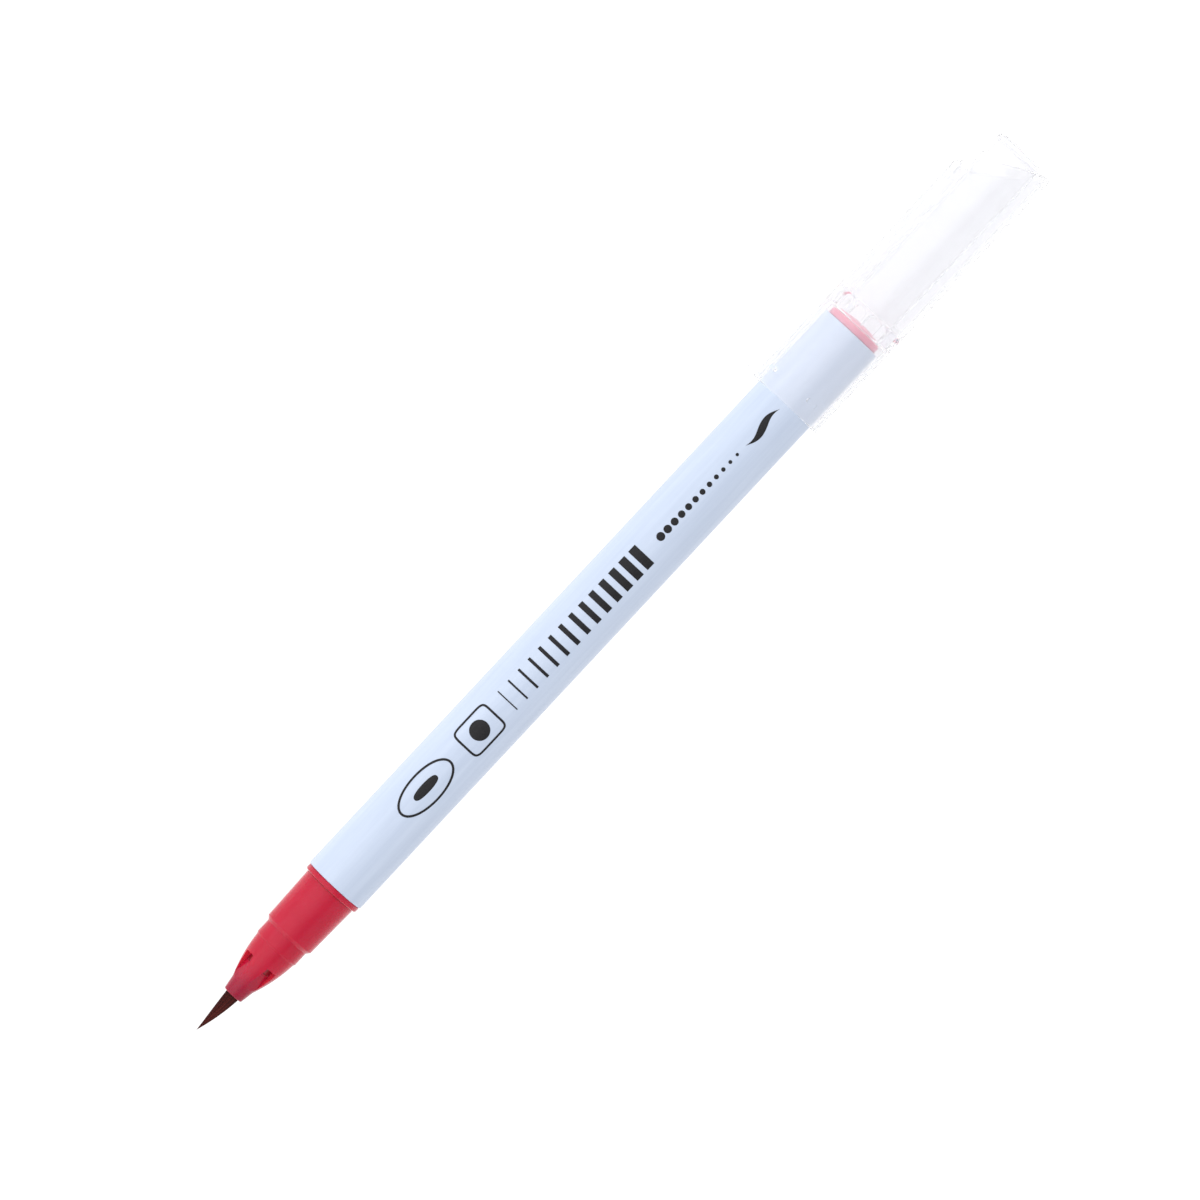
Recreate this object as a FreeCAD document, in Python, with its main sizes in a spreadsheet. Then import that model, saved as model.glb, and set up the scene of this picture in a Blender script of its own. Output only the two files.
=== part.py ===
"""A disposable brush pen lying on its side, with its clear cap pushed onto the rear of the barrel.

Every length is in millimetres. A "station" is a distance along the pen's axis, measured from the
tip of the bristles towards the rear, and every sub-part is drawn in that one system, with the axis
as X. The placements then move the pen so that the origin is under its middle, on the surface that
it lies on: the cap is the widest piece, so the axis is one cap radius above that surface, and the
cap is rolled until its fin rests on the surface too.
"""
import FreeCAD, Part
import math
import os
from types import SimpleNamespace

import Sketcher

# alias, value, what it is
DIMENSIONS = [
    # bristles
    ("tuft_tip_radius", 0.05, "blunt end of the bristle point"),
    ("tuft_radius", 1.09, "bristle bundle where it leaves the nose"),
    ("tuft_swell_radius", 57.0, "long curve of the bundle from tip to nose"),
    ("root_radius", 1.10, "fused root of the bundle"),
    ("root_front", 8.4, "station of the root's front face"),
    ("root_rear", 12.2, "station of the root's rear face"),
    # front section
    ("nose_front", 7.0, "station of the nose's front face"),
    ("nose_hole_radius", 1.25, "hole that the bristles leave through"),
    ("nose_hole_lead", 0.08, "chamfer round that hole"),
    ("nose_hole_rear", 8.3, "station where the hole ends inside"),
    ("nose_lip_radius", 1.57, "outside of the nose just behind its front face"),
    ("nose_lip_round", 0.22, "rounding of the nose's front edge"),
    ("nose_shoulder", 9.1, "station where the nose starts to widen"),
    ("nose_shoulder_radius", 1.88, "outside of the nose there"),
    ("nose_curve_radius", 24.0, "convex curve of the nose seen from the side"),
    ("nose_rear", 15.8, "station where the nose ends"),
    ("nose_rear_radius", 3.42, "outside of the nose there"),
    ("ring_front", 16.05, "station where the sealing ring starts"),
    ("ring_rear", 18.2, "station where the sealing ring ends"),
    ("ring_radius", 3.56, "sealing ring, which the inner cap slides over"),
    ("neck_front", 18.75, "station where the grip neck starts"),
    ("neck_front_radius", 4.00, "grip neck at its front"),
    ("neck_rear", 26.98, "station where the grip neck ends"),
    ("neck_rear_radius", 4.22, "grip neck at its rear"),
    ("groove_radius", 4.10, "bottom of the groove in front of the flange"),
    ("groove_width", 0.16, "width of that groove"),
    ("flange_radius", 4.64, "flange that meets the barrel"),
    ("flange_edge", 0.12, "chamfer of the flange"),
    ("spigot_rear", 36.0, "station where the spigot inside the barrel ends"),
    ("spigot_bore_radius", 3.0, "bore of the spigot"),
    ("spigot_lead", 0.3, "chamfer at the spigot's end"),
    ("neck_bore_radius", 2.6, "bore inside ring and neck"),
    ("neck_bore_front", 15.9, "station where that bore starts"),
    ("nose_bore_radius", 2.05, "bore that the windows' rear ends break into"),
    ("nose_bore_front", 12.2, "station where that bore starts"),
    ("nose_sleeve_radius", 1.66, "narrower bore under the windows' floors"),
    ("nose_sleeve_front", 9.65, "station where it is full size"),
    ("nose_throat_radius", 1.5, "narrow bore behind the nose's hole"),
    ("nose_throat_rear", 9.5, "station where it ends"),
    ("window_count", 4, "windows round the nose"),
    ("window_front", 8.9, "station of the windows' front end"),
    ("window_rear", 13.2, "station of the windows' rear end"),
    ("window_width", 1.9, "width of a window"),
    ("window_floor", 1.92, "distance of a window's floor from the axis"),
    ("window_roll", 9.0, "degrees from level to the first window"),
    # brush holder
    ("holder_nose_radius", 1.42, "front of the holder"),
    ("holder_nose_rear", 9.4, "station where that front ends"),
    ("holder_neck_radius", 1.58, "holder inside the narrower bore"),
    ("holder_neck_front", 9.6, "station where that neck is full size"),
    ("holder_neck_rear", 12.2, "station where it ends"),
    ("holder_front", 12.26, "station where the holder is full size"),
    ("holder_radius", 2.0, "outside of the holder"),
    ("holder_collar_front", 15.95, "station of the collar that locates the holder"),
    ("holder_collar_rear", 17.5, "station of the collar's rear face"),
    ("holder_collar_radius", 2.55, "outside of that collar"),
    ("holder_rear", 26.0, "station of the holder's rear face"),
    ("holder_root_bore_radius", 1.12, "bore that holds the root"),
    ("holder_relay_bore_radius", 0.90, "bore that holds the ink relay"),
    # ink
    ("relay_radius", 0.87, "fibre rod that feeds the bristles"),
    ("relay_front", 12.25, "station of the rod's front face"),
    ("relay_rear", 46.0, "station of the rod's rear face"),
    ("relay_point", 0.2, "chamfer of both ends of the rod"),
    ("core_radius", 3.25, "ink-soaked fibre core"),
    ("core_front", 37.5, "station of the core's front face"),
    ("core_rear", 124.0, "station of the core's rear face"),
    ("core_hole_radius", 0.9, "blind hole that takes the rod"),
    ("core_hole_rear", 46.1, "station where that hole ends"),
    ("film_thickness", 0.1, "film wrapped round the core"),
    ("film_overhang", 0.5, "how far the film stands past the core's rear"),
    # barrel
    ("barrel_front", 28.0, "station of the barrel's front face"),
    ("barrel_rear", 133.85, "station of the barrel's rear face"),
    ("barrel_radius", 4.80, "outside of the barrel"),
    ("barrel_bore_radius", 3.85, "inside of the barrel"),
    ("barrel_edge", 0.2, "rounding of the barrel's ends"),
    # rear plug
    ("plug_front", 128.0, "station of the plug's front end, inside the barrel"),
    ("plug_lead", 0.3, "chamfer at that end"),
    ("plug_bore_radius", 2.9, "hollow of the plug"),
    ("plug_bore_rear", 133.0, "station where the hollow ends"),
    ("plug_flange_radius", 4.30, "flange behind the barrel"),
    ("plug_flange_rear", 134.9, "station of the flange's rear face"),
    ("plug_flange_edge", 0.12, "chamfer of that flange"),
    ("plug_boss_radius", 3.9, "domed boss on the flange"),
    ("plug_boss_edge", 135.2, "station where the dome starts"),
    ("plug_rear", 135.8, "station of the dome's top"),
    ("plug_dome_radius", 13.0, "curve of the dome"),
    # cap shell
    ("cap_mouth", 120.2, "station of the cap's mouth"),
    ("cap_radius", 5.95, "outside of the cap's tube"),
    ("cap_bore_radius", 5.11, "inside of the cap's tube"),
    ("cap_mouth_round", 0.25, "rounding of the cap's mouth"),
    ("cap_rear", 168.2, "station of the longest part of the cap's tube"),
    ("slant_station", 164.8, "station where the slanted end crosses the axis"),
    ("slant_slope", 0.604, "how far the slanted end runs back for each millimetre away from the fin"),
    ("fin_radius", 7.84, "distance of the fin's edge from the axis"),
    ("fin_root", 5.4, "distance from the axis where the fin starts, inside the wall"),
    ("fin_width", 1.6, "thickness of the fin"),
    ("fin_corner", 1.3, "rounding of the fin's front corner"),
    ("fin_edge", 0.4, "rounding of the fin's long edges"),
    ("stop_front", 134.95, "station of the ring that stops on the plug's flange"),
    ("stop_rear", 135.4, "station where that ring ends"),
    ("stop_round", 0.25, "rounding of the ring's front edge"),
    ("rib_count", 6, "ribs between the ring and the inner cap"),
    ("rib_rear", 137.85, "station of the ribs' round ends"),
    ("rib_radius", 4.10, "distance of the inner faces of ring and ribs from the axis"),
    ("rib_width", 2.1, "width of a rib"),
    ("bump_count", 4, "grip bumps inside the mouth"),
    ("bump_station", 122.8, "station of the bumps"),
    ("bump_radius", 4.84, "distance of the bumps' inner faces from the axis"),
    ("bump_length", 1.7, "bump measured round the bore"),
    ("bump_width", 0.7, "bump measured along the pen"),
    ("bump_roll", 45, "degrees from the fin to the first bump"),
    ("boss_root", 5.3, "distance from the axis where ribs and bumps end, inside the wall"),
    # inner cap
    ("inner_mouth", 137.9, "station of the inner cap's mouth"),
    ("inner_lead", 0.1, "chamfer inside that mouth"),
    ("inner_radius", 3.92, "outside of the inner cap"),
    ("inner_bore_radius", 3.60, "inside of the inner cap, which seals on the ring"),
    ("inner_collar_width", 0.7, "thickness of the collar that joins it to the shell"),
    ("inner_rear", 168.7, "station of its closed end"),
    ("inner_end_wall", 0.84, "thickness of the closed end"),
    ("inner_end_round", 0.56, "rounding of the closed end"),
    ("cut_margin", 1.0, "how far cutting shapes reach past what they cut"),
]


class Size:
    """A number together with the sheet expression that gives it."""

    def __init__(self, value, text):
        self.value = value
        self.text = text

    def joined(self, sign, other, value):
        text = other.text if isinstance(other, Size) else str(other)
        return Size(value, f"({self.text} {sign} {text})")

    def __add__(self, other):
        return self.joined("+", other, self.value + number(other))

    def __sub__(self, other):
        return self.joined("-", other, self.value - number(other))

    def __mul__(self, other):
        return self.joined("*", other, self.value * number(other))

    def __truediv__(self, other):
        return self.joined("/", other, self.value / number(other))


def number(size):
    return size.value if isinstance(size, Size) else size


def filled_sheet(doc):
    """Puts the dimensions in a spreadsheet and returns one Size for each."""
    sheet = doc.addObject("Spreadsheet::Sheet", "sheet")
    sizes = {}
    for row, (alias, value, meaning) in enumerate(DIMENSIONS, 1):
        sheet.set(f"A{row}", meaning)
        sheet.set(f"B{row}", str(value))
        sheet.setAlias(f"B{row}", alias)
        sizes[alias] = Size(value, f"sheet.{alias}")
    doc.recompute()
    return SimpleNamespace(**sizes)


doc = FreeCAD.newDocument("brush_pen")
dim = filled_sheet(doc)
AXIS = Size(0.0, "0")
X_AXIS = FreeCAD.Vector(1, 0, 0)
LEVEL = Size(0.0, "0")


# ---------------------------------------------------------------- drawing helpers

def new_body(label, roll=LEVEL):
    """A body drawn along the pen's axis, rolled about it, and placed on the resting surface."""
    body = doc.addObject("PartDesign::Body", label)
    body.Label = label
    body.Placement = FreeCAD.Placement(FreeCAD.Vector(), FreeCAD.Rotation(X_AXIS, number(roll)))
    body.setExpression("Placement.Base.x", f"-{dim.inner_rear.text} / 2")
    body.setExpression("Placement.Base.z", dim.cap_radius.text)
    if roll is not LEVEL:
        body.setExpression("Placement.Rotation.Angle", roll.text)
    return body


def origin_feature(body, role):
    return next(found for found in body.Origin.OriginFeatures if found.Role == role)


def new_sketch(body, name, role):
    sketch = body.newObject("Sketcher::SketchObject", name)
    sketch.AttachmentSupport = [(origin_feature(body, role), "")]
    sketch.MapMode = "FlatFace"
    return sketch


def side_sketch(body, name):
    """A sketch in the plane of the axis: X is the station, Y the distance from the axis."""
    return new_sketch(body, name, "XY_Plane")


def end_sketch(body, name, station):
    """A sketch across the axis: X is the distance from the axis, Y runs across."""
    sketch = new_sketch(body, name, "YZ_Plane")
    sketch.setExpression("AttachmentOffset.Base.z", station.text)
    return sketch


def facing_sketch(body, name, lift, roll=LEVEL):
    """A sketch that faces the axis from a distance: X is the station, Y runs across."""
    sketch = new_sketch(body, name, "XZ_Plane")
    turn = FreeCAD.Rotation(X_AXIS, number(roll))
    sketch.AttachmentOffset = FreeCAD.Placement(FreeCAD.Vector(), turn)
    sketch.setExpression("AttachmentOffset.Base.y", f"{lift.text} * sin({roll.text})")
    sketch.setExpression("AttachmentOffset.Base.z", f"-{lift.text} * cos({roll.text})")
    if roll is not LEVEL:
        sketch.setExpression("AttachmentOffset.Rotation.Angle", roll.text)
    return sketch


def arc_between(start, end, radius, bulge):
    """The short arc between two points. A bulge of 1 is to the left of the way along, -1 to the right."""
    chord = end - start
    height = math.sqrt(radius ** 2 - (chord.Length / 2) ** 2)
    left = FreeCAD.Vector(-chord.y, chord.x, 0).normalize()
    centre = (start + end) / 2 - left * (bulge * height)
    first = end if bulge > 0 else start
    angle = math.atan2(first.y - centre.y, first.x - centre.x)
    sweep = 2 * math.asin(chord.Length / 2 / radius)
    circle = Part.Circle(centre, FreeCAD.Vector(0, 0, 1), radius)
    return Part.ArcOfCircle(circle, angle, angle + sweep)


def fix_point(sketch, edge, end, across, up):
    """Ties a point of a sketch to its two sizes."""
    origin = (-1, 1)
    if across is AXIS:
        sketch.addConstraint(Sketcher.Constraint("PointOnObject", edge, end, -2))
    else:
        rule = sketch.addConstraint(Sketcher.Constraint("DistanceX", *origin, edge, end, across.value))
        sketch.setExpression(f"Constraints[{rule}]", across.text)
    if up is AXIS:
        sketch.addConstraint(Sketcher.Constraint("PointOnObject", edge, end, -1))
    else:
        rule = sketch.addConstraint(Sketcher.Constraint("DistanceY", *origin, edge, end, up.value))
        sketch.setExpression(f"Constraints[{rule}]", up.text)


def draw_outline(sketch, corners):
    """Draws a closed outline. A corner is (across, up), and (across, up, radius, bulge) starts an arc."""
    points = [FreeCAD.Vector(corner[0].value, corner[1].value, 0) for corner in corners]
    heads, tails = [], []
    for index, corner in enumerate(corners):
        start, end = points[index], points[(index + 1) % len(points)]
        if len(corner) == 2:
            sketch.addGeometry(Part.LineSegment(start, end))
            heads.append(1)
            tails.append(2)
        else:
            radius, bulge = corner[2:]
            sketch.addGeometry(arc_between(start, end, radius.value, bulge))
            heads.append(2 if bulge > 0 else 1)
            tails.append(1 if bulge > 0 else 2)
            rule = sketch.addConstraint(Sketcher.Constraint("Radius", index, radius.value))
            sketch.setExpression(f"Constraints[{rule}]", radius.text)
    for index, corner in enumerate(corners):
        before = index - 1 if index else len(corners) - 1
        sketch.addConstraint(Sketcher.Constraint("Coincident", before, tails[before], index, heads[index]))
        fix_point(sketch, index, heads[index], corner[0], corner[1])


def revolve(body, corners):
    """Turns an outline of (station, radius) corners about the pen's axis."""
    sketch = side_sketch(body, f"{body.Label}_profile")
    draw_outline(sketch, corners)
    turned = body.newObject("PartDesign::Revolution", f"{body.Label}_turned")
    turned.Profile = sketch
    turned.ReferenceAxis = (sketch, ["H_Axis"])
    turned.Angle = 360
    sketch.Visibility = False
    return turned


def pad(body, name, sketch, length, outwards=True):
    """Adds material away from the axis, or rearwards from a sketch across it."""
    added = body.newObject("PartDesign::Pad", name)
    added.Profile = sketch
    added.setExpression("Length", length.text)
    added.Reversed = outwards
    sketch.Visibility = False
    return added


def pocket(body, name, sketch, both_ways=False):
    """Cuts right through: both ways from the sketch, or away from the axis."""
    cut = body.newObject("PartDesign::Pocket", name)
    cut.Profile = sketch
    cut.Type = "ThroughAll"
    if both_ways:
        cut.SideType = "Symmetric"
    sketch.Visibility = False
    return cut


def repeat_round_axis(body, feature, count):
    pattern = body.newObject("PartDesign::PolarPattern", f"{feature.Name}_pattern")
    pattern.Originals = [feature]
    pattern.Axis = (origin_feature(body, "X_Axis"), [""])
    pattern.Angle = 360
    pattern.setExpression("Occurrences", count.text)
    body.Tip = pattern
    return pattern


# ---------------------------------------------------------------- bristles

def make_bristle_tuft():
    """The free bristles: a pointed bundle on a ball-shaped heel, about whose centre it flexes."""
    body = new_body("bristle_tuft")
    heel = dim.nose_front + dim.tuft_radius
    revolve(body, [
        (AXIS, AXIS),
        (AXIS, dim.tuft_tip_radius, dim.tuft_swell_radius, 1),
        (dim.nose_front, dim.tuft_radius, dim.tuft_radius, 1),
        (heel, AXIS),
    ])
    return body


def make_bristle_root():
    body = new_body("bristle_root")
    revolve(body, [
        (dim.root_front, AXIS),
        (dim.root_front, dim.root_radius),
        (dim.root_rear, dim.root_radius),
        (dim.root_rear, AXIS),
    ])
    return body


# ---------------------------------------------------------------- front section and holder

def make_front_section():
    """One moulding: nose with four windows, sealing ring, grip neck, flange and spigot."""
    body = new_body("front_section", roll=dim.window_roll)
    groove_rear = dim.neck_rear + dim.groove_width
    flange_front = groove_rear + dim.flange_edge
    flange_rear = dim.barrel_front - dim.flange_edge
    revolve(body, [
        (dim.nose_front, dim.nose_hole_radius + dim.nose_hole_lead),
        (dim.nose_front, dim.nose_lip_radius - dim.nose_lip_round, dim.nose_lip_round, 1),
        (dim.nose_front + dim.nose_lip_round, dim.nose_lip_radius),
        (dim.nose_shoulder, dim.nose_shoulder_radius, dim.nose_curve_radius, 1),
        (dim.nose_rear, dim.nose_rear_radius),
        (dim.ring_front, dim.ring_radius),
        (dim.ring_rear, dim.ring_radius),
        (dim.neck_front, dim.neck_front_radius),
        (dim.neck_rear, dim.neck_rear_radius),
        (dim.neck_rear, dim.groove_radius),
        (groove_rear, dim.groove_radius),
        (groove_rear, dim.flange_radius - dim.flange_edge),
        (flange_front, dim.flange_radius),
        (flange_rear, dim.flange_radius),
        (dim.barrel_front, dim.flange_radius - dim.flange_edge),
        (dim.barrel_front, dim.barrel_bore_radius),
        (dim.spigot_rear - dim.spigot_lead, dim.barrel_bore_radius),
        (dim.spigot_rear, dim.barrel_bore_radius - dim.spigot_lead),
        (dim.spigot_rear, dim.spigot_bore_radius),
        (dim.barrel_front, dim.spigot_bore_radius),
        (dim.neck_rear, dim.neck_bore_radius),
        (dim.neck_bore_front, dim.neck_bore_radius),
        (dim.neck_bore_front, dim.nose_bore_radius),
        (dim.nose_bore_front, dim.nose_bore_radius),
        (dim.nose_bore_front, dim.nose_sleeve_radius),
        (dim.nose_sleeve_front, dim.nose_sleeve_radius),
        (dim.nose_throat_rear, dim.nose_throat_radius),
        (dim.nose_hole_rear, dim.nose_throat_radius),
        (dim.nose_hole_rear, dim.nose_hole_radius),
        (dim.nose_front + dim.nose_hole_lead, dim.nose_hole_radius),
    ])
    half = dim.window_width / 2
    sketch = facing_sketch(body, "window_outline", dim.window_floor)
    draw_outline(sketch, [
        (dim.window_front, half * -1),
        (dim.window_rear, half * -1),
        (dim.window_rear, half),
        (dim.window_front, half),
    ])
    repeat_round_axis(body, pocket(body, "window", sketch), dim.window_count)
    return body


def make_brush_holder():
    """The tube that carries root and relay, with a collar that seats inside the front section."""
    body = new_body("brush_holder")
    revolve(body, [
        (dim.root_front, dim.holder_root_bore_radius),
        (dim.root_front, dim.holder_nose_radius),
        (dim.holder_nose_rear, dim.holder_nose_radius),
        (dim.holder_neck_front, dim.holder_neck_radius),
        (dim.holder_neck_rear, dim.holder_neck_radius),
        (dim.holder_front, dim.holder_radius),
        (dim.holder_collar_front, dim.holder_radius),
        (dim.holder_collar_front, dim.holder_collar_radius),
        (dim.holder_collar_rear, dim.holder_collar_radius),
        (dim.holder_collar_rear, dim.holder_radius),
        (dim.holder_rear, dim.holder_radius),
        (dim.holder_rear, dim.holder_relay_bore_radius),
        (dim.root_rear, dim.holder_relay_bore_radius),
        (dim.root_rear, dim.holder_root_bore_radius),
    ])
    return body


# ---------------------------------------------------------------- ink supply

def make_ink_relay():
    body = new_body("ink_relay")
    revolve(body, [
        (dim.relay_front, AXIS),
        (dim.relay_front, dim.relay_radius - dim.relay_point),
        (dim.relay_front + dim.relay_point, dim.relay_radius),
        (dim.relay_rear - dim.relay_point, dim.relay_radius),
        (dim.relay_rear, dim.relay_radius - dim.relay_point),
        (dim.relay_rear, AXIS),
    ])
    return body


def make_reservoir_core():
    body = new_body("reservoir_core")
    revolve(body, [
        (dim.core_front, dim.core_hole_radius),
        (dim.core_front, dim.core_radius),
        (dim.core_rear, dim.core_radius),
        (dim.core_rear, AXIS),
        (dim.core_hole_rear, AXIS),
        (dim.core_hole_rear, dim.core_hole_radius),
    ])
    return body


def make_reservoir_film():
    body = new_body("reservoir_film")
    film_rear = dim.core_rear + dim.film_overhang
    film_radius = dim.core_radius + dim.film_thickness
    revolve(body, [
        (dim.core_front, dim.core_radius),
        (dim.core_front, film_radius),
        (film_rear, film_radius),
        (film_rear, dim.core_radius),
    ])
    return body


# ---------------------------------------------------------------- barrel and plug

def make_barrel():
    body = new_body("barrel")
    rim = dim.barrel_radius - dim.barrel_edge
    revolve(body, [
        (dim.barrel_front, dim.barrel_bore_radius),
        (dim.barrel_front, rim, dim.barrel_edge, 1),
        (dim.barrel_front + dim.barrel_edge, dim.barrel_radius),
        (dim.barrel_rear - dim.barrel_edge, dim.barrel_radius, dim.barrel_edge, 1),
        (dim.barrel_rear, rim),
        (dim.barrel_rear, dim.barrel_bore_radius),
    ])
    return body


def make_rear_plug():
    """A hollow stopper with a flange that covers the barrel's end and a low domed boss."""
    body = new_body("rear_plug")
    rim = dim.plug_flange_radius - dim.plug_flange_edge
    revolve(body, [
        (dim.plug_front, dim.plug_bore_radius),
        (dim.plug_front, dim.barrel_bore_radius - dim.plug_lead),
        (dim.plug_front + dim.plug_lead, dim.barrel_bore_radius),
        (dim.barrel_rear, dim.barrel_bore_radius),
        (dim.barrel_rear, rim),
        (dim.barrel_rear + dim.plug_flange_edge, dim.plug_flange_radius),
        (dim.plug_flange_rear - dim.plug_flange_edge, dim.plug_flange_radius),
        (dim.plug_flange_rear, rim),
        (dim.plug_flange_rear, dim.plug_boss_radius),
        (dim.plug_boss_edge, dim.plug_boss_radius, dim.plug_dome_radius, 1),
        (dim.plug_rear, AXIS),
        (dim.plug_bore_rear, AXIS),
        (dim.plug_bore_rear, dim.plug_bore_radius),
    ])
    return body


# ---------------------------------------------------------------- cap

def fin_roll():
    """Turns the fin down until its rounded edge and the tube touch the resting surface together."""
    reach = dim.fin_radius - dim.fin_edge
    side = dim.fin_width / 2 - dim.fin_edge
    rest = dim.cap_radius - dim.fin_edge
    centre = math.hypot(reach.value, side.value)
    below_level = math.asin(rest.value / centre) - math.atan(side.value / reach.value)
    text = (
        f"360 deg - asin({rest.text} / sqrt({reach.text} ^ 2 + {side.text} ^ 2))"
        f" + atan({side.text} / {reach.text})"
    )
    return Size(360 - math.degrees(below_level), text)


def add_fin(body):
    """A straight fin along the tube, its two long edges and its front corner rounded."""
    half = dim.fin_width / 2
    sketch = end_sketch(body, "fin_section", dim.cap_mouth)
    draw_outline(sketch, [
        (dim.fin_root, half * -1),
        (dim.fin_radius - dim.fin_edge, half * -1, dim.fin_edge, -1),
        (dim.fin_radius, dim.fin_edge - half),
        (dim.fin_radius, half - dim.fin_edge, dim.fin_edge, -1),
        (dim.fin_radius - dim.fin_edge, half),
        (dim.fin_root, half),
    ])
    pad(body, "fin", sketch, dim.slant_station - dim.cap_mouth, outwards=False)
    corner = side_sketch(body, "fin_corner_outline")
    above = dim.fin_radius + dim.cut_margin
    draw_outline(corner, [
        (dim.cap_mouth, dim.fin_radius - dim.fin_corner, dim.fin_corner, 1),
        (dim.cap_mouth + dim.fin_corner, dim.fin_radius),
        (dim.cap_mouth + dim.fin_corner, above),
        (dim.cap_mouth - dim.cut_margin, above),
        (dim.cap_mouth - dim.cut_margin, dim.fin_radius - dim.fin_corner),
    ])
    pocket(body, "fin_corner", corner, both_ways=True)


def cut_slanted_end(body):
    """Cuts the rear of tube and fin off on a slant: shortest at the fin, longest opposite."""
    above = dim.fin_radius + dim.cut_margin
    below = dim.cap_radius + dim.cut_margin
    beyond = dim.cap_rear + dim.cut_margin
    sketch = side_sketch(body, "slanted_end_outline")
    draw_outline(sketch, [
        (dim.slant_station - dim.slant_slope * above, above),
        (dim.slant_station + dim.slant_slope * below, below * -1),
        (beyond + dim.slant_slope * below, below * -1),
        (beyond + dim.slant_slope * below, above),
    ])
    pocket(body, "slanted_end", sketch, both_ways=True)


def add_ribs(body):
    """Low ribs with round ends, which run back from the stop ring and centre the neck."""
    half = dim.rib_width / 2
    arch = dim.rib_rear - half
    front = dim.stop_front + dim.stop_round
    sketch = facing_sketch(body, "rib_outline", dim.rib_radius)
    draw_outline(sketch, [
        (front, half * -1),
        (arch, half * -1, half, -1),
        (dim.rib_rear, AXIS, half, -1),
        (arch, half),
        (front, half),
    ])
    rib = pad(body, "rib", sketch, dim.boss_root - dim.rib_radius)
    repeat_round_axis(body, rib, dim.rib_count)


def add_grip_bumps(body):
    """Small pads inside the mouth that grip the barrel."""
    half = dim.bump_width / 2
    straight = (dim.bump_length - dim.bump_width) / 2
    front, rear = dim.bump_station - half, dim.bump_station + half
    sketch = facing_sketch(body, "bump_outline", dim.bump_radius, dim.bump_roll)
    draw_outline(sketch, [
        (front, straight * -1, half, -1),
        (dim.bump_station, dim.bump_length / -2, half, -1),
        (rear, straight * -1),
        (rear, straight, half, -1),
        (dim.bump_station, dim.bump_length / 2, half, -1),
        (front, straight),
    ])
    bump = pad(body, "bump", sketch, dim.boss_root - dim.bump_radius)
    repeat_round_axis(body, bump, dim.bump_count)


def make_cap_shell():
    body = new_body("cap_shell", roll=fin_roll())
    edge = dim.cap_mouth_round
    revolve(body, [
        (dim.cap_mouth, dim.cap_bore_radius + edge),
        (dim.cap_mouth, dim.cap_radius - edge, edge, 1),
        (dim.cap_mouth + edge, dim.cap_radius),
        (dim.cap_rear, dim.cap_radius),
        (dim.cap_rear, dim.cap_bore_radius),
        (dim.stop_rear, dim.cap_bore_radius),
        (dim.stop_rear, dim.rib_radius),
        (dim.stop_front + dim.stop_round, dim.rib_radius, dim.stop_round, 1),
        (dim.stop_front, dim.rib_radius + dim.stop_round),
        (dim.stop_front, dim.cap_bore_radius),
        (dim.cap_mouth + edge, dim.cap_bore_radius),
    ])
    add_fin(body)
    cut_slanted_end(body)
    add_ribs(body)
    add_grip_bumps(body)
    return body


def make_inner_cap():
    """The closed inner tube that keeps the bristles wet, joined to the shell by a collar."""
    body = new_body("inner_cap")
    collar_rear = dim.inner_mouth + dim.inner_collar_width
    floor = dim.inner_rear - dim.inner_end_wall
    revolve(body, [
        (dim.inner_mouth, dim.inner_bore_radius + dim.inner_lead),
        (dim.inner_mouth, dim.cap_bore_radius),
        (collar_rear, dim.cap_bore_radius),
        (collar_rear, dim.inner_radius),
        (dim.inner_rear - dim.inner_end_round, dim.inner_radius, dim.inner_end_round, 1),
        (dim.inner_rear, dim.inner_radius - dim.inner_end_round),
        (dim.inner_rear, AXIS),
        (floor, AXIS),
        (floor, dim.inner_bore_radius),
        (dim.inner_mouth + dim.inner_lead, dim.inner_bore_radius),
    ])
    return body


# ---------------------------------------------------------------- checks and export



def check_document(bodies):
    """Stops if anything failed, if a cut took nothing away or if a pad added nothing."""
    for found in doc.Objects:
        if "Invalid" in found.State or "Error" in found.State:
            raise RuntimeError(f"{found.Name} failed: {found.State}")
        base = getattr(found, "BaseFeature", None)
        if base is None or found.TypeId == "PartDesign::Body":
            continue
        added = found.Shape.Volume - base.Shape.Volume
        if found.TypeId == "PartDesign::Pocket" and added >= 0:
            raise RuntimeError(f"{found.Name} cuts nothing")
        if found.TypeId == "PartDesign::Pad" and added <= 0:
            raise RuntimeError(f"{found.Name} adds nothing")
    for body in bodies:
        if body.Shape.isNull() or not body.Shape.isValid():
            raise RuntimeError(f"{body.Label} has no valid shape")
        if len(body.Shape.Solids) != 1:
            raise RuntimeError(f"{body.Label} has {len(body.Shape.Solids)} solids")


bodies = [
    make_bristle_tuft(),
    make_bristle_root(),
    make_front_section(),
    make_brush_holder(),
    make_ink_relay(),
    make_reservoir_core(),
    make_reservoir_film(),
    make_barrel(),
    make_rear_plug(),
    make_cap_shell(),
    make_inner_cap(),
]
doc.recompute()
check_document(bodies)
os.makedirs("parts", exist_ok=True)
for body in bodies:
    body.Shape.exportStep(f"parts/{body.Label}.step")
    print(f"{body.Label}: {body.Shape.Volume:.2f} mm3")
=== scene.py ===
"""The looks of the brush pen: bristles, print, plastics, light and camera round its frame."""
import math
import random

import bmesh
import bpy
from mathutils import Matrix, Vector


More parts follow.
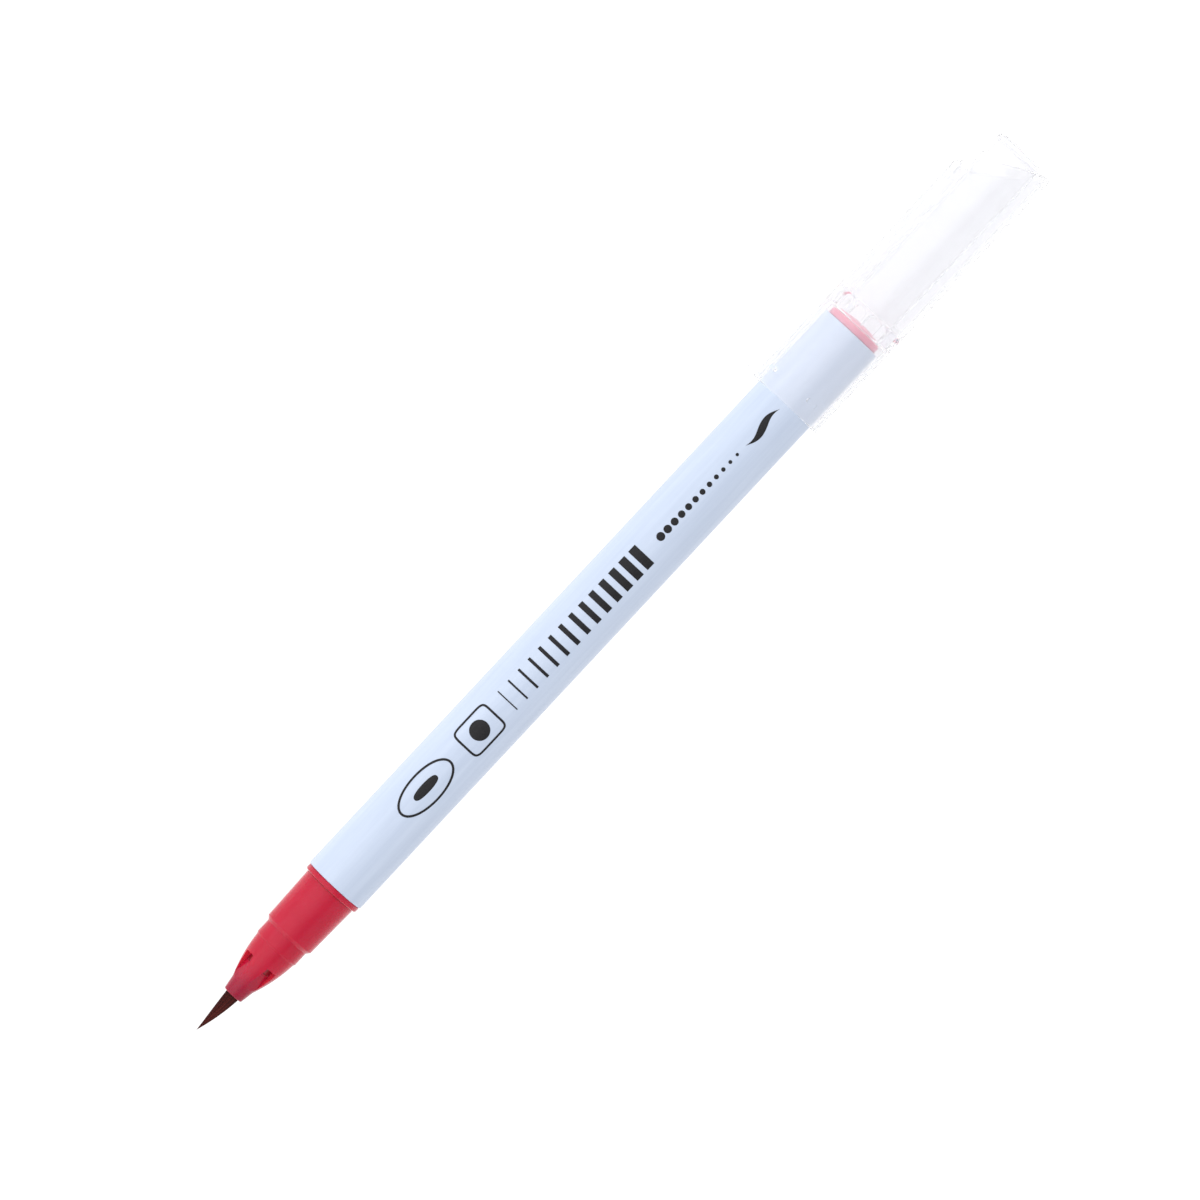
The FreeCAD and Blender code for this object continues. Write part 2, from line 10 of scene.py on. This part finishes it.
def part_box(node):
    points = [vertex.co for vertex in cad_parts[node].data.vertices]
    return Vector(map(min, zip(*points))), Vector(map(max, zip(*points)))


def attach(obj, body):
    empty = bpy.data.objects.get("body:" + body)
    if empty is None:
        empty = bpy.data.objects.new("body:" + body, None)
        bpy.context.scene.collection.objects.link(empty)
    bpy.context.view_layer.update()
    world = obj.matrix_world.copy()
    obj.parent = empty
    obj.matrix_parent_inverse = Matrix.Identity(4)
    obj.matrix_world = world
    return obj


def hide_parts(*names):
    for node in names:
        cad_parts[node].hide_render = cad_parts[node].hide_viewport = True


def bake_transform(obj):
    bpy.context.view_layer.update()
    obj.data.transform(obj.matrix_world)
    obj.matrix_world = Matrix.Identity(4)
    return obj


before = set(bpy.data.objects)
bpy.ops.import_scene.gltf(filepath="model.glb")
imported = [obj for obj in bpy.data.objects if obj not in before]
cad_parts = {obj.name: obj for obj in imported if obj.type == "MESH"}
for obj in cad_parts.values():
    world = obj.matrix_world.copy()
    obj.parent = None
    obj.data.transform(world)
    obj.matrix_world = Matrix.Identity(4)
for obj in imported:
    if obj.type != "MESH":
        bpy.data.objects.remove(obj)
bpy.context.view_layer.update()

MM = 0.001
random.seed(7)

# ---------------------------------------------------------------- places taken from the frame

BARREL_LOW, BARREL_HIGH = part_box("barrel")
TUFT_LOW, TUFT_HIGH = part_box("bristle_tuft")
MOUTH_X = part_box("front_section")[0].x
CAP_END_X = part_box("inner_cap")[1].x
TIP_X = TUFT_LOW.x
AXIS_Z = (BARREL_LOW.z + BARREL_HIGH.z) / 2
BARREL_RADIUS = (BARREL_HIGH.z - BARREL_LOW.z) / 2
TUFT_RADIUS = (TUFT_HIGH.z - TUFT_LOW.z) / 2

VIEW_ELEVATION = math.radians(58.93)
TOWARDS_VIEWER = Vector((0, math.cos(VIEW_ELEVATION), math.sin(VIEW_ELEVATION)))
ACROSS_VIEW = Vector((0, math.sin(VIEW_ELEVATION), -math.cos(VIEW_ELEVATION)))


def on_axis(station):
    """The point of the pen's axis that is this many metres behind the bristles' tip."""
    return Vector((TIP_X + station, 0, AXIS_Z))


def link(obj):
    bpy.context.scene.collection.objects.link(obj)


# ---------------------------------------------------------------- material helpers

MOTTLE_SPREAD = (0.3, 0.7)      # noise values at which the two tones are reached
WALL_FACING = (0.3, 0.8)        # share of a normal along the radius: painted wall light in full, and none


def new_material(name):
    material = bpy.data.materials.new(name)
    material.use_nodes = True
    tree = material.node_tree
    tree.nodes.clear()
    output = tree.nodes.new("ShaderNodeOutputMaterial")
    shader = tree.nodes.new("ShaderNodeBsdfPrincipled")
    tree.links.new(shader.outputs[0], output.inputs["Surface"])
    return material, tree, shader


def add(tree, kind, **settings):
    """Adds a node. A setting named in_X sets its input X, or links a node's output to it."""
    made = tree.nodes.new("ShaderNode" + kind)
    for key, value in settings.items():
        if not key.startswith("in_"):
            setattr(made, key, value)
            continue
        name = key[3:]
        socket = made.inputs[int(name) if name.isdigit() else name.replace("_", " ")]
        if isinstance(value, bpy.types.NodeSocket):
            tree.links.new(value, socket)
        else:
            socket.default_value = value
    return made


def set_inputs(shader, **values):
    """Sets a shader's uniform inputs. An underscore stands for a space in the input's name."""
    for name, value in values.items():
        shader.inputs[name.replace("_", " ")].default_value = value


def stretched_noise(tree, scale, stretch=(1, 1, 1), detail=3.0, rough=0.55):
    """Noise in the pen's own coordinates, stretched by a factor along each axis."""
    place = add(tree, "TexCoord").outputs["Object"]
    mapping = add(tree, "Mapping", in_Vector=place, in_Scale=[scale / s for s in stretch])
    noise = add(tree, "TexNoise", in_Vector=mapping.outputs[0], in_Scale=1.0,
                in_Detail=detail, in_Roughness=rough)
    return noise.outputs["Fac"]


def ramp(tree, value, stops):
    """A colour ramp over (position, colour) stops."""
    made = add(tree, "ValToRGB", in_Fac=value)
    elements = made.color_ramp.elements
    while len(elements) < len(stops):
        elements.new(0.5)
    for element, (position, colour) in zip(elements, stops):
        element.position = position
        element.color = (*colour, 1)
    return made.outputs["Color"]


def mottle(tree, shader, noise, tones, spread=MOTTLE_SPREAD):
    """Makes a shader's colour wander between two tones as the noise does, and returns it."""
    tone = ramp(tree, noise, list(zip(spread, tones)))
    tree.links.new(tone, shader.inputs["Base Color"])
    return tone


def roughen(tree, shader, noise, low, high):
    rough = add(tree, "MapRange", in_Value=noise, in_To_Min=low, in_To_Max=high)
    tree.links.new(rough.outputs[0], shader.inputs["Roughness"])


def bump(tree, shader, height, strength, distance):
    made = add(tree, "Bump", in_Height=height, in_Strength=strength, in_Distance=distance)
    tree.links.new(made.outputs[0], shader.inputs["Normal"])


def shaded_along(tree, tone, start, end, stops):
    """Multiplies a colour by a ramp that runs along the pen from one X to another."""
    place = add(tree, "TexCoord").outputs["Object"]
    along = add(tree, "SeparateXYZ", in_Vector=place).outputs["X"]
    share = add(tree, "MapRange", in_Value=along, in_From_Min=start, in_From_Max=end).outputs[0]
    shade = ramp(tree, share, stops)
    mixed = add(tree, "MixRGB", blend_type="MULTIPLY", in_Fac=1.0, in_Color1=tone, in_Color2=shade)
    return mixed.outputs[0]


def painted_light_on_walls(tree, tone, wall_painted_light):
    """Paints the wall light onto faces that look neither towards the pen's axis nor away from it.
    """
    coordinates = add(tree, "TexCoord").outputs
    from_axis = add(tree, "VectorMath", operation="SUBTRACT",
                    in_0=coordinates["Object"], in_1=(0, 0, AXIS_Z))
    across = add(tree, "VectorMath", operation="MULTIPLY",
                 in_0=from_axis.outputs[0], in_1=(0, 1, 1))
    outward = add(tree, "VectorMath", operation="NORMALIZE", in_0=across.outputs[0])
    facing = add(tree, "VectorMath", operation="DOT_PRODUCT",
                 in_0=coordinates["Normal"], in_1=outward.outputs[0])
    radial = add(tree, "Math", operation="ABSOLUTE", in_0=facing.outputs["Value"])
    share = add(tree, "MapRange", in_Value=radial.outputs[0],
                in_From_Min=WALL_FACING[0], in_From_Max=WALL_FACING[1])
    mixed = add(tree, "MixRGB", in_Fac=share.outputs[0], in_Color1=(*wall_painted_light, 1), in_Color2=tone)
    return mixed.outputs[0]


def paint(obj, material):
    obj.data.materials.clear()
    obj.data.materials.append(material)


# ---------------------------------------------------------------- tones, as linear colours

BARREL_TONES = ((0.562, 0.645, 0.806), (0.626, 0.710, 0.870))
NOSE_TONES = ((0.66, 0.006, 0.042), (0.70, 0.010, 0.052))
# Painted light on the walls of the nose's windows.
NOSE_WALL_PAINTED_LIGHT = (0.95, 0.05, 0.10)
PLUG_TONES = ((0.86, 0.29, 0.40), (0.90, 0.33, 0.44))
HOLDER_TONES = ((0.29, 0.009, 0.018), (0.37, 0.014, 0.026))
SHELL_TINT = (0.936, 0.938, 0.962)
INNER_TINT = (0.975, 0.975, 0.984)
TINT_VARIATION = 0.004
BRISTLE_TONES = ((0.034, 0.008, 0.007), (0.095, 0.016, 0.013), (0.21, 0.036, 0.028))
RELAY_TONES = ((0.10, 0.02, 0.02), (0.22, 0.05, 0.05))
CORE_TONES = ((0.05, 0.012, 0.012), (0.12, 0.03, 0.03))
FILM_TONES = ((0.75, 0.76, 0.8), (0.85, 0.86, 0.9))
INK_TONES = ((0.008, 0.008, 0.010), (0.022, 0.021, 0.024))
FLOOR_TONES = ((0.11, 0.11, 0.11), (0.13, 0.13, 0.13))

# Painted shade at the nose's mouth, where bristles fill it, and painted light on its windows'
# walls.
MOUTH_PAINTED_SHADE_LENGTH = 6 * MM
MOUTH_PAINTED_SHADE = ((0.0, (0.6, 1, 1)), (0.35, (0.71, 1, 1)), (0.65, (0.9, 1, 1)), (1.0, (1, 1, 1)))
# The inner cap is deeper in tone at the solid disc that closes it.
THICK_END_LENGTH = 1.5 * MM
THICK_END_SHADE = ((0.0, (1, 1, 1)), (0.25, (0.95, 0.95, 0.97)), (1.0, (0.92, 0.92, 0.95)))


# ---------------------------------------------------------------- materials

# Clear plastic turns invisible to a ray that has met more surfaces than these inside it.
MOST_REFLECTIONS = 2.5
MOST_CROSSINGS = 9.5


def barrel_plastic():
    material, tree, shader = new_material("barrel_plastic")
    cloud = stretched_noise(tree, 900, stretch=(16, 1, 1), detail=5, rough=0.6)
    mottle(tree, shader, cloud, BARREL_TONES)
    streaks = stretched_noise(tree, 1400, stretch=(30, 1, 1), detail=2)
    roughen(tree, shader, streaks, 0.3, 0.42)
    bump(tree, shader, streaks, strength=0.06, distance=0.02 * MM)
    set_inputs(shader, IOR=1.49)
    return material


def red_plastic(name, tones, clearness, is_nose=False):
    """Red translucent plastic. Its clearness is the share of light that goes straight through."""
    material, tree, shader = new_material(name)
    cloud = stretched_noise(tree, 250, detail=4)
    tone = mottle(tree, shader, cloud, tones)
    if is_nose:
        # Painted shade at the mouth and painted light on the windows' walls, in the base colour.
        tone = shaded_along(tree, tone, MOUTH_X, MOUTH_X + MOUTH_PAINTED_SHADE_LENGTH, MOUTH_PAINTED_SHADE)
        tone = painted_light_on_walls(tree, tone, NOSE_WALL_PAINTED_LIGHT)
        tree.links.new(tone, shader.inputs["Base Color"])
    grain = stretched_noise(tree, 3000, detail=2)
    roughen(tree, shader, grain, 0.16, 0.24)
    bump(tree, shader, grain, strength=0.05, distance=0.01 * MM)
    set_inputs(shader, IOR=1.47, Specular_Tint=(1.0, 0.8, 0.85, 1), Transmission_Weight=clearness,
               Subsurface_Weight=0.25, Subsurface_Radius=(1.0, 0.16, 0.2),
               Subsurface_Scale=1.2 * MM)
    return material


def holder_plastic():
    material, tree, shader = new_material("holder_plastic")
    cloud = stretched_noise(tree, 700, stretch=(4, 1, 1))
    mottle(tree, shader, cloud, HOLDER_TONES)
    roughen(tree, shader, cloud, 0.22, 0.38)
    return material


def let_light_through(tree, shader):
    """Lets the light that falls on things inside clear plastic pass straight through it."""
    path = add(tree, "LightPath").outputs
    passes = path["Is Shadow Ray"]
    for other in (
        path["Is Diffuse Ray"],
        add(tree, "Math", operation="GREATER_THAN",
            in_0=path["Glossy Depth"], in_1=MOST_REFLECTIONS).outputs[0],
        add(tree, "Math", operation="GREATER_THAN",
            in_0=path["Transmission Depth"], in_1=MOST_CROSSINGS).outputs[0],
    ):
        passes = add(tree, "Math", operation="MAXIMUM", in_0=passes, in_1=other).outputs[0]
    clear = add(tree, "BsdfTransparent")
    mixed = add(tree, "MixShader", in_Fac=passes, in_1=shader.outputs[0], in_2=clear.outputs[0])
    output = next(node for node in tree.nodes if node.type == "OUTPUT_MATERIAL")
    tree.links.new(mixed.outputs[0], output.inputs["Surface"])


def clear_plastic(name, tint, clearness, thick_end=False):
    """Clear polystyrene, with a faint haze where its clearness is below 1."""
    material, tree, shader = new_material(name)
    haze = stretched_noise(tree, 300, stretch=(4, 1, 1))
    pale = [min(1.0, channel + TINT_VARIATION) for channel in tint]
    tone = mottle(tree, shader, haze, (tint, pale))
    if thick_end:
        tone = shaded_along(tree, tone, CAP_END_X - THICK_END_LENGTH, CAP_END_X, THICK_END_SHADE)
        tree.links.new(tone, shader.inputs["Base Color"])
    roughen(tree, shader, haze, 0.08, 0.13)
    set_inputs(shader, IOR=1.53, Transmission_Weight=clearness)
    let_light_through(tree, shader)
    return material


def bristle_nylon():
    """Wet nylon. Each bristle has its own shade, from the mesh."""
    material, tree, shader = new_material("bristle_nylon")
    shade = add(tree, "Attribute", attribute_name="shade").outputs["Fac"]
    mottle(tree, shader, shade, BRISTLE_TONES, spread=(0.0, 0.5, 1.0))
    streaks = stretched_noise(tree, 9000, stretch=(12, 1, 1), detail=2)
    roughen(tree, shader, streaks, 0.25, 0.45)
    set_inputs(shader, Specular_IOR_Level=0.12)
    return material


def fibre(name, tones, length):
    """A felt of fibres that lie along the pen, each this many times as long as it is thick."""
    material, tree, shader = new_material(name)
    strands = stretched_noise(tree, 6000, stretch=(length, 1, 1), detail=4)
    mottle(tree, shader, strands, tones)
    bump(tree, shader, strands, strength=0.5, distance=0.05 * MM)
    set_inputs(shader, Roughness=0.8)
    return material


def film():
    material, tree, shader = new_material("film")
    wrinkles = stretched_noise(tree, 400, stretch=(6, 1, 1))
    mottle(tree, shader, wrinkles, FILM_TONES)
    bump(tree, shader, wrinkles, strength=0.3, distance=0.1 * MM)
    set_inputs(shader, Roughness=0.15, Transmission_Weight=0.6)
    return material


def ink_print():
    material, tree, shader = new_material("ink_print")
    speckle = stretched_noise(tree, 5000, detail=5)
    mottle(tree, shader, speckle, INK_TONES, spread=(0.3, 0.75))
    roughen(tree, shader, speckle, 0.3, 0.5)
    bump(tree, shader, speckle, strength=0.1, distance=0.01 * MM)
    set_inputs(shader, Specular_IOR_Level=0.25)
    return material


def floor_paper():
    """Pale paper that glows a little, so that the floor comes out white."""
    material, tree, shader = new_material("floor_paper")
    grain = stretched_noise(tree, 900, detail=5)
    mottle(tree, shader, grain, FLOOR_TONES)
    set_inputs(shader, Roughness=0.9, Specular_IOR_Level=0.0,
               Emission_Color=(1, 1, 1, 1), Emission_Strength=1.02)
    return material


def dress_cad_nodes():
    for node, material in {
        "barrel": barrel_plastic(),
        "front_section": red_plastic("red_plastic", NOSE_TONES, clearness=0.25, is_nose=True),
        "rear_plug": red_plastic("plug_plastic", PLUG_TONES, clearness=0.06),
        "brush_holder": holder_plastic(),
        "ink_relay": fibre("relay_fibre", RELAY_TONES, length=20),
        "reservoir_core": fibre("core_fibre", CORE_TONES, length=6),
        "reservoir_film": film(),
        "cap_shell": clear_plastic("shell_plastic", SHELL_TINT, clearness=0.90),
        "inner_cap": clear_plastic("inner_plastic", INNER_TINT, clearness=0.92, thick_end=True),
    }.items():
        paint(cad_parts[node], material)


# ---------------------------------------------------------------- bristles

FILAMENTS = 600
FILAMENT_RADIUS = 0.046 * MM
FILAMENT_SIDES = 5
FILAMENT_RINGS = 12
FILAMENT_WAVE = 0.025 * MM
END_TAPER, TAPER_POWER = 0.82, 2.2    # the radius that a bristle loses, mostly near its end
FULL_LENGTH_SHARE = 0.12              # the innermost bristles, which reach the tip
SHORTEST_END, END_POWER = 0.75, 1.6   # the others end nearer the mouth, mostly not by much
SHADE_POWER = 1.3                    # most bristles are darker than halfway
TUFT_SWELL = 0.42
MOUTH_DARKENING = 0.45
HEEL_DEPTH = 0.9 * MM
TIP_CURL = 0.36 * MM
GOLDEN_ANGLE = math.pi * (3 - math.sqrt(5))


def tuft_outline(along):
    """The bundle's radius, as a share of its largest, at a share of the way from the tip."""
    return min(1.0, max(0.0, along) * (1 + TUFT_SWELL * (1 - along)))


def add_ring(bm, centre, radius, turn):
    ring = []
    for side in range(FILAMENT_SIDES):
        angle = turn + 2 * math.pi * side / FILAMENT_SIDES
        ring.append(bm.verts.new(centre + Vector((0, math.cos(angle), math.sin(angle))) * radius))
    return ring


def join_rings(bm, ring, following):
    count = len(ring)
    for side in range(count):
        after = (side + 1) % count
        bm.faces.new((ring[side], ring[after], following[after], following[side]))


def add_filament(bm, shade_layer, share, angle, end, shade):
    """One bristle from the heel to its own end. Its path stays at one share of the outline."""
    reach = MOUTH_X - TIP_X
    wave, phase = random.uniform(0, 1) * FILAMENT_WAVE, random.uniform(0, 2 * math.pi)
    radial = Vector((0, math.cos(angle), math.sin(angle)))
    sideways = Vector((0, -math.sin(angle), math.cos(angle)))
    rings, first = [], len(bm.verts)
    for step in range(FILAMENT_RINGS + 1):
        progress = step / FILAMENT_RINGS
        station = (reach + HEEL_DEPTH) * (1 - progress) + end * reach * progress
        along = min(1.0, station / reach)
        spread = share * (TUFT_RADIUS - FILAMENT_RADIUS) * tuft_outline(along)
        sway = wave * math.sin(3 * math.pi * progress + phase) * progress
        centre = on_axis(station) + radial * spread + sideways * sway
        centre += ACROSS_VIEW * TIP_CURL * (1 - along) ** 2
        thickness = FILAMENT_RADIUS * (1 - END_TAPER * progress ** TAPER_POWER)
        rings.append(add_ring(bm, centre, thickness, angle))
    for ring, following in zip(rings, rings[1:]):
        join_rings(bm, ring, following)
    bm.faces.new(rings[0])
    bm.faces.new(reversed(rings[-1]))
    bm.verts.ensure_lookup_table()
    for vert in bm.verts[first:]:
        depth = (vert.co.x - TIP_X) / reach
        vert[shade_layer] = min(1.0, max(0.0, shade * (1.0 - MOUTH_DARKENING * depth)))


def make_bristles():
    """The bundle in place of the plain tuft. It bends with the tuft, from the mouth forwards."""
    bm = bmesh.new()
    shade_layer = bm.verts.layers.float.new("shade")
    for index in range(FILAMENTS):
        share = math.sqrt((index + 0.5) / FILAMENTS)
        angle = index * GOLDEN_ANGLE
        reaches_tip = index < FILAMENTS * FULL_LENGTH_SHARE
        end = 0.0 if reaches_tip else random.uniform(0, SHORTEST_END) ** END_POWER
        shade = random.uniform(0.1, 1.0) ** SHADE_POWER
        add_filament(bm, shade_layer, share, angle, end, shade)
    mesh = bpy.data.meshes.new("bristles")
    bm.to_mesh(mesh)
    bm.free()
    mesh.polygons.foreach_set("use_smooth", [True] * len(mesh.polygons))
    bristles = bpy.data.objects.new("bristles", mesh)
    link(bristles)
    nylon = bristle_nylon()
    paint(bristles, nylon)
    paint(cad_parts["bristle_root"], nylon)
    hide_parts("bristle_tuft")
    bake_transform(bristles)


# ---------------------------------------------------------------- print on the barrel

INK_HEIGHT = 0.02 * MM
INK_COLUMN = 0.25 * MM      # widest piece of a ribbon that may be flat, across the barrel

OVAL_STATION = 46.9 * MM
FRAME_STATION = 57.9 * MM
BAR_COUNT, BAR_STATION, BAR_STEP = 14, 63.6 * MM, 2.1 * MM
BAR_HALF_WIDTH, BAR_GROWTH = 0.09 * MM, 0.045 * MM
BAR_HALF_HEIGHT, BAR_POINTS = 1.92 * MM, 13
DOT_COUNT, DOT_STATION, DOT_STEP = 12, 94.9 * MM, 1.42 * MM
DOT_SIZE, DOT_SHRINKAGE = 1.25 * MM, 0.07 * MM
STROKE_START, STROKE_END = 112.2 * MM, 119.2 * MM
STROKE_THINNEST, STROKE_SWELL = 0.02, 1.4     # its end's share of its width, and how it swells


def wrapped(station, across):
    """A point on the barrel, from a station and a distance round from the line that faces us."""
    angle = VIEW_ELEVATION + across / BARREL_RADIUS
    radius = BARREL_RADIUS + INK_HEIGHT
    return on_axis(station) + Vector((0, math.cos(angle), math.sin(angle))) * radius


def add_stroke(bm, spine, closed=False):
    """A ribbon of ink along (station, across, half width) points.

    It is split into columns, so that it follows the barrel's curve.
    """
    widest = max(half for _, _, half in spine)
    columns = max(2, math.ceil(2 * widest / INK_COLUMN))
    count = len(spine)
    rows = []
    for index, (station, across, half) in enumerate(spine):
        before = spine[index - 1] if closed or index else spine[0]
        after = spine[(index + 1) % count] if closed or index < count - 1 else spine[-1]
        way = Vector((after[0] - before[0], after[1] - before[1])).normalized()
        row = []
        for column in range(columns + 1):
            offset = half * (2 * column / columns - 1)
            point = wrapped(station - way.y * offset, across + way.x * offset)
            row.append(bm.verts.new(point))
        rows.append(row)
    pairs = list(zip(rows, rows[1:])) + ([(rows[-1], rows[0])] if closed else [])
    for row, following in pairs:
        for side in range(columns):
            corners = row[side], row[side + 1], following[side + 1], following[side]
            bm.faces.new(corners)


def oval_spine(station, length, height, half, squareness=2.0, points=96):
    """A closed outline: an ellipse, or nearer to a rectangle where squareness is high."""
    spine = []
    for index in range(points):
        turn = 2 * math.pi * index / points
        along, across = math.cos(turn), math.sin(turn)
        reach = (abs(along) ** squareness + abs(across) ** squareness) ** (-1 / squareness)
        spine.append((station + length / 2 * along * reach, height / 2 * across * reach, half))
    return spine


def dot_spine(station, size):
    """A closed outline halfway out from a dot's centre, for a stroke that fills the dot."""
    return oval_spine(station, length=size / 2, height=size / 2, half=size / 4)


def bar_spine(station, half_width):
    middle = BAR_POINTS // 2
    step = BAR_HALF_HEIGHT / middle
    return [(station, (index - middle) * step, half_width) for index in range(BAR_POINTS)]


def wave_spine(start, end, widest, rise, points=64):
    """A brush stroke that swells and thins out as it waves along the pen."""
    spine = []
    for index in range(points + 1):
        share = index / points
        half = widest * max(STROKE_THINNEST, math.sin(math.pi * share) ** STROKE_SWELL)
        spine.append((start + (end - start) * share, rise * math.sin(2 * math.pi * share), half))
    return spine


def make_print():
    """Generic marks in place of words: ovals, a framed dot, bars, dots and a brush stroke."""
    bm = bmesh.new()
    for spine in (
        oval_spine(OVAL_STATION, length=10.0 * MM, height=4.7 * MM, half=0.17 * MM),
        oval_spine(OVAL_STATION, length=3.9 * MM, height=0.7 * MM, half=0.36 * MM),
        oval_spine(FRAME_STATION, length=6.2 * MM, height=4.9 * MM, half=0.16 * MM, squareness=7),
        oval_spine(FRAME_STATION, length=1.5 * MM, height=1.5 * MM, half=0.74 * MM),
    ):
        add_stroke(bm, spine, closed=True)
    for index in range(BAR_COUNT):
        half_width = BAR_HALF_WIDTH + BAR_GROWTH * index
        add_stroke(bm, bar_spine(BAR_STATION + BAR_STEP * index, half_width))
    for index in range(DOT_COUNT):
        size = DOT_SIZE - DOT_SHRINKAGE * index
        add_stroke(bm, dot_spine(DOT_STATION + DOT_STEP * index, size), closed=True)
    add_stroke(bm, wave_spine(STROKE_START, STROKE_END, widest=0.55 * MM, rise=0.4 * MM))
    mesh = bpy.data.meshes.new("barrel_print")
    bm.to_mesh(mesh)
    bm.free()
    printed = bpy.data.objects.new("barrel_print", mesh)
    link(printed)
    paint(printed, ink_print())
    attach(printed, "pen")


# ---------------------------------------------------------------- floor, light and camera

FLOOR_HALF = 3.0

# (degrees over the pen, brightness), from the viewer's horizon to the one behind.
SKY_PEAK = 1.5
SKY_LEVELS = (
    (0, 1.5), (45, 1.4), (59, 1.13), (76, 0.8), (86, 0.55), (98, 0.55), (110, 0.86), (150, 0.9),
    (180, 1.03),
)

VIEW_DISTANCE = 1.213
VIEW_FOOT = 98.0 * MM       # station that the camera is square to
VIEW_AIM = 82.58 * MM       # station in the middle of the picture
VIEW_SHIFT = 0.147 * MM
PEN_SLOPE = math.radians(46.95)
LENS = 259.97
SENSOR_WIDTH = 36
CLIP_START = 0.01


def make_floor():
    mesh = bpy.data.meshes.new("floor")
    half = FLOOR_HALF
    corners = [(-half, -half, 0), (half, -half, 0), (half, half, 0), (-half, half, 0)]
    mesh.from_pydata(corners, [], [(0, 1, 2, 3)])
    floor = bpy.data.objects.new("floor", mesh)
    link(floor)
    paint(floor, floor_paper())


def make_light():
    """A white studio, bright and low on the viewer's side and dimmer overhead and behind."""
    world = bpy.data.worlds.new("studio")
    world.use_nodes = True
    tree = world.node_tree
    background = tree.nodes["Background"]
    place = add(tree, "TexCoord").outputs["Generated"]
    way = add(tree, "SeparateXYZ", in_Vector=place).outputs
    angle = add(tree, "Math", operation="ARCTAN2", in_0=way["Z"], in_1=way["Y"]).outputs[0]
    share = add(tree, "Math", operation="DIVIDE", in_0=angle, in_1=math.pi).outputs[0]
    stops = [(degrees / 180, (level / SKY_PEAK,) * 3) for degrees, level in SKY_LEVELS]
    dimmed = ramp(tree, share, stops)
    level = add(tree, "Math", operation="MULTIPLY", in_0=dimmed, in_1=SKY_PEAK)
    tree.links.new(level.outputs[0], background.inputs["Strength"])
    background.inputs["Color"].default_value = (1, 1, 1, 1)
    bpy.context.scene.world = world


def make_camera():
    """Looks at the pen from the fin's side. The pen rises to the right in the picture."""
    shift = ACROSS_VIEW * VIEW_SHIFT
    place = on_axis(VIEW_FOOT) + TOWARDS_VIEWER * VIEW_DISTANCE + shift
    forward = (on_axis(VIEW_AIM) + shift - place).normalized()
    backward = -forward
    along = (Vector((1, 0, 0)) - forward * forward.x).normalized()
    across = backward.cross(along)
    right = along * math.cos(PEN_SLOPE) - across * math.sin(PEN_SLOPE)
    up = along * math.sin(PEN_SLOPE) + across * math.cos(PEN_SLOPE)
    data = bpy.data.cameras.new("camera")
    data.lens = LENS
    data.sensor_width = SENSOR_WIDTH
    data.clip_start = CLIP_START
    camera = bpy.data.objects.new("camera", data)
    turn = Matrix((right, up, backward)).transposed()
    camera.matrix_world = Matrix.Translation(place) @ turn.to_4x4()
    link(camera)
    bpy.context.scene.camera = camera


def set_colours():
    settings = bpy.context.scene.view_settings
    settings.view_transform = "Standard"
    settings.look = "None"
    settings.exposure = 0.0


# ---------------------------------------------------------------- the scene

make_camera()
make_floor()
make_light()
set_colours()
dress_cad_nodes()
make_bristles()
make_print()
